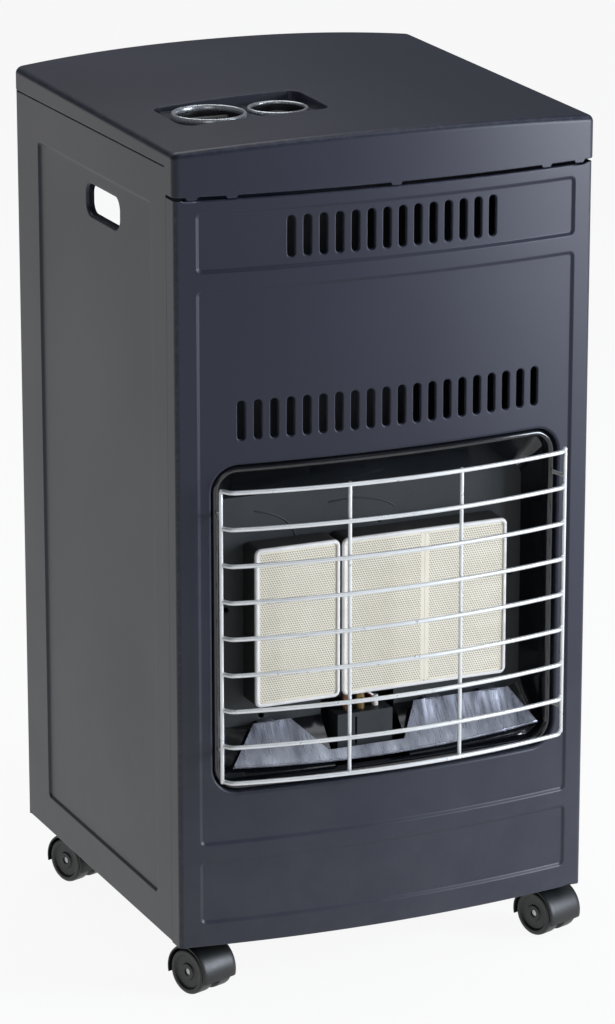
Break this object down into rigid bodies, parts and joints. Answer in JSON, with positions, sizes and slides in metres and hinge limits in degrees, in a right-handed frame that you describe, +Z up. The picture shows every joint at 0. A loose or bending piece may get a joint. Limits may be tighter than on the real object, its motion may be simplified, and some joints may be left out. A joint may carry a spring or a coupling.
{
  "type": "portable gas cabinet heater",
  "caption": "Free-standing radiant cabinet heater on casters: bowed vented front, wire-guarded ceramic burners, sunken top controls, side handles and a lift-off back cover.",
  "frame": {"origin": "on the floor, under the middle of the outline's bounding box", "axes": "+Z up, -Y is the front with the burners, +X is to the right seen from the front"},
  "size_m": [0.4072, 0.4392, 0.7939],
  "materials": {
    "body_paint": "satin charcoal powder coat with a slight blue cast and fine orange peel",
    "inner_steel": "heat-dulled dark coated steel",
    "black_enamel": "glossy black vitreous enamel",
    "guard_wire": "bright nickel-plated wire",
    "reflector_sheet": "bright rolled aluminium reflector sheet",
    "burner_sheet": "pale aluminised sheet steel, satin",
    "plaque_ceramic": "unglazed cream perforated ceramic, matt",
    "white_ceramic": "white glazed insulator",
    "black_plastic": "black moulded plastic with fine texture",
    "caster_plastic": "black moulded nylon, satin",
    "bright_chrome": "polished chrome trim",
    "brass_fittings": "turned brass",
    "valve_alloy": "die-cast alloy with a fine grain",
    "copper_pipe": "drawn copper tube",
    "lead_insulation": "silicone lead insulation",
    "zinc_steel": "zinc-plated steel"
  },
  "bodies": {
    "cabinet": {"front_panel": "body_paint", "side_panel_left": "body_paint", "side_panel_right": "body_paint", "base_pan": "body_paint", "lid": "body_paint", "partition": "inner_steel", "rear_rail": "inner_steel", "valve_shelf": "inner_steel", "control_tray": "black_plastic", "piezo_igniter": "black_plastic", "dial_ring": "bright_chrome", "igniter_ring": "bright_chrome", "gas_valve": "valve_alloy", "hose_tail": "brass_fittings", "window_bezel": "black_enamel", "firebox_surround": "black_enamel", "burner_chassis": "inner_steel", "floor_reflector": "reflector_sheet", "pilot_box": "inner_steel", "pilot_burner": "brass_fittings", "spark_electrode": "white_ceramic", "wire_guard": "guard_wire", "burner_frame_left": "burner_sheet", "burner_frame_right": "burner_sheet", "burner_plenum_left": "burner_sheet", "burner_plenum_right": "burner_sheet", "injector_left": "brass_fittings", "injector_right": "brass_fittings", "ceramic_plaque_left": "plaque_ceramic", "ceramic_plaque_right_1": "plaque_ceramic", "ceramic_plaque_right_2": "plaque_ceramic", "gas_pipe_left": "copper_pipe", "gas_pipe_right": "copper_pipe", "thermocouple": "copper_pipe", "pilot_pipe": "copper_pipe", "ignition_lead": "lead_insulation", "caster_front_left_plate": "zinc_steel", "caster_front_right_plate": "zinc_steel", "caster_rear_left_plate": "zinc_steel", "caster_rear_right_plate": "zinc_steel"},
    "spindle": {"valve_spindle": "brass_fittings"},
    "knob": {"gas_knob": "black_plastic"},
    "igniter": {"igniter_button": "black_plastic"},
    "cover": {"rear_cover": "body_paint"},
    "swivel_front_left": {"caster_front_left_hood": "caster_plastic"},
    "wheels_front_left": {"caster_front_left_axle": "zinc_steel", "caster_front_left_wheel_left": "caster_plastic", "caster_front_left_wheel_right": "caster_plastic"},
    "swivel_front_right": {"caster_front_right_hood": "caster_plastic"},
    "wheels_front_right": {"caster_front_right_axle": "zinc_steel", "caster_front_right_wheel_left": "caster_plastic", "caster_front_right_wheel_right": "caster_plastic"},
    "swivel_rear_left": {"caster_rear_left_hood": "caster_plastic"},
    "wheels_rear_left": {"caster_rear_left_axle": "zinc_steel", "caster_rear_left_wheel_left": "caster_plastic", "caster_rear_left_wheel_right": "caster_plastic"},
    "swivel_rear_right": {"caster_rear_right_hood": "caster_plastic"},
    "wheels_rear_right": {"caster_rear_right_axle": "zinc_steel", "caster_rear_right_wheel_left": "caster_plastic", "caster_rear_right_wheel_right": "caster_plastic"}
  },
  "joints": [
    {"name": "knob_press", "type": "slide", "parent": "cabinet", "child": "spindle", "axis": [0, 0, -1], "range_m": [0, 0.004], "stiffness_N_per_m": 800, "springref_m": -0.004},
    {"name": "knob_turn", "type": "hinge", "parent": "spindle", "child": "knob", "pos_m": [-0.12136, -0.05468, 0.772], "axis": [0, 0, 1], "range_deg": [0, 210]},
    {"name": "igniter_press", "type": "slide", "parent": "cabinet", "child": "igniter", "axis": [0, 0, -1], "range_m": [0, 0.006], "stiffness_N_per_m": 600, "springref_m": -0.005},
    {"name": "cover_lift", "type": "slide", "parent": "cabinet", "child": "cover", "axis": [0, 0, 1], "range_m": [0, 0.012]},
    {"name": "swivel_turn_front_left", "type": "hinge", "parent": "cabinet", "child": "swivel_front_left", "pos_m": [-0.17636, -0.13268, 0.05], "axis": [0, 0, 1], "continuous": true},
    {"name": "wheels_roll_front_left", "type": "hinge", "parent": "swivel_front_left", "child": "wheels_front_left", "pos_m": [-0.17158, -0.14583, 0.021], "axis": [0.9397, 0.342, 0], "continuous": true},
    {"name": "swivel_turn_front_right", "type": "hinge", "parent": "cabinet", "child": "swivel_front_right", "pos_m": [0.17164, -0.13268, 0.05], "axis": [0, 0, 1], "continuous": true},
    {"name": "wheels_roll_front_right", "type": "hinge", "parent": "swivel_front_right", "child": "wheels_front_right", "pos_m": [0.17642, -0.14583, 0.021], "axis": [0.9397, 0.342, 0], "continuous": true},
    {"name": "swivel_turn_rear_left", "type": "hinge", "parent": "cabinet", "child": "swivel_rear_left", "pos_m": [-0.17636, 0.17132, 0.05], "axis": [0, 0, 1], "continuous": true},
    {"name": "wheels_roll_rear_left", "type": "hinge", "parent": "swivel_rear_left", "child": "wheels_rear_left", "pos_m": [-0.17158, 0.15817, 0.021], "axis": [0.9397, 0.342, 0], "continuous": true},
    {"name": "swivel_turn_rear_right", "type": "hinge", "parent": "cabinet", "child": "swivel_rear_right", "pos_m": [0.17164, 0.17132, 0.05], "axis": [0, 0, 1], "continuous": true},
    {"name": "wheels_roll_rear_right", "type": "hinge", "parent": "swivel_rear_right", "child": "wheels_rear_right", "pos_m": [0.17642, 0.15817, 0.021], "axis": [0.9397, 0.342, 0], "continuous": true}
  ]
}
